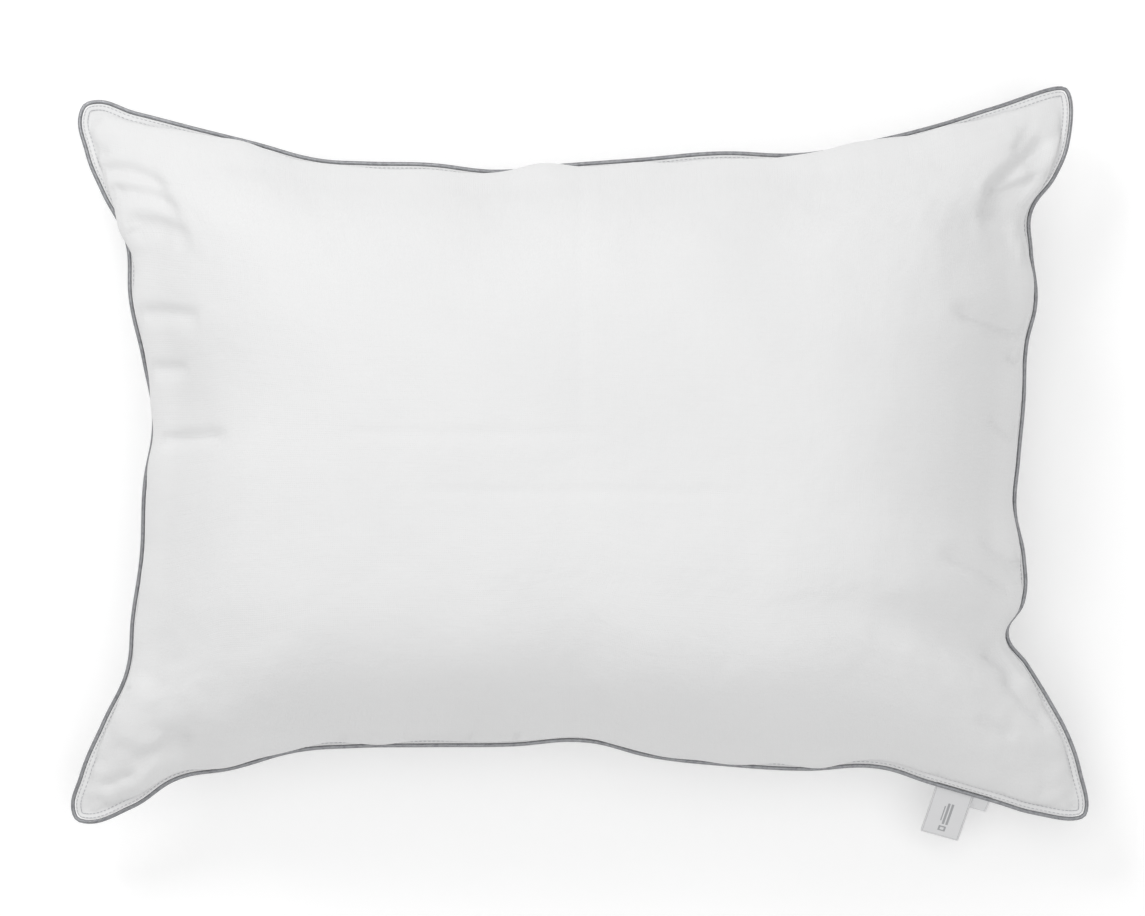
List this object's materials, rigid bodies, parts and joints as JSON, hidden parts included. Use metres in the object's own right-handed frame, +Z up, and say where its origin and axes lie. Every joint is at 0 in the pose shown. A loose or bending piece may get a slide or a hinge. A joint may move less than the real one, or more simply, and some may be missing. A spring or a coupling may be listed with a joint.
{
  "type": "bed pillow",
  "caption": "Plump rectangular bed pillow: domed cotton panels over fibre fill, joined by a piped, topstitched flange seam with slightly drooping ears and hinged sewn-in labels.",
  "frame": {"origin": "middle of the flat patch on the underside that the pillow rests on", "axes": "+X along the long side, +Y across towards the back long side, +Z up through the crown"},
  "size_m": [0.6822, 0.5022, 0.19],
  "materials": {
    "cotton": "matte",
    "fibre": "matte",
    "cord": "matte",
    "satin_tape": "satin",
    "thread": "satin",
    "label_satin": "satin",
    "care_cloth": "matte"
  },
  "bodies": {
    "pillow": {"top_panel": "cotton", "bottom_panel": "cotton", "fibre_fill": "fibre", "piping_cord": "cord", "piping_tape": "satin_tape", "seam_thread": "thread", "closing_thread": "thread", "topstitch_needle_thread": "thread", "topstitch_bobbin_thread": "thread", "brand_label_tab": "label_satin", "care_label_tab": "care_cloth"},
    "brand_label": {"brand_label": "label_satin"},
    "care_label": {"care_label": "care_cloth"}
  },
  "joints": [
    {"name": "brand_label_flap", "type": "hinge", "parent": "pillow", "child": "brand_label", "pos_m": [0.24902, -0.22368, 0.06008], "axis": [-0.9524, 0.2688, 0.144], "range_deg": [-40, 70]},
    {"name": "care_label_flap", "type": "hinge", "parent": "pillow", "child": "care_label", "pos_m": [0.26944, -0.22967, 0.0569], "axis": [-0.9532, 0.2662, 0.1435], "range_deg": [-25, 95]}
  ]
}
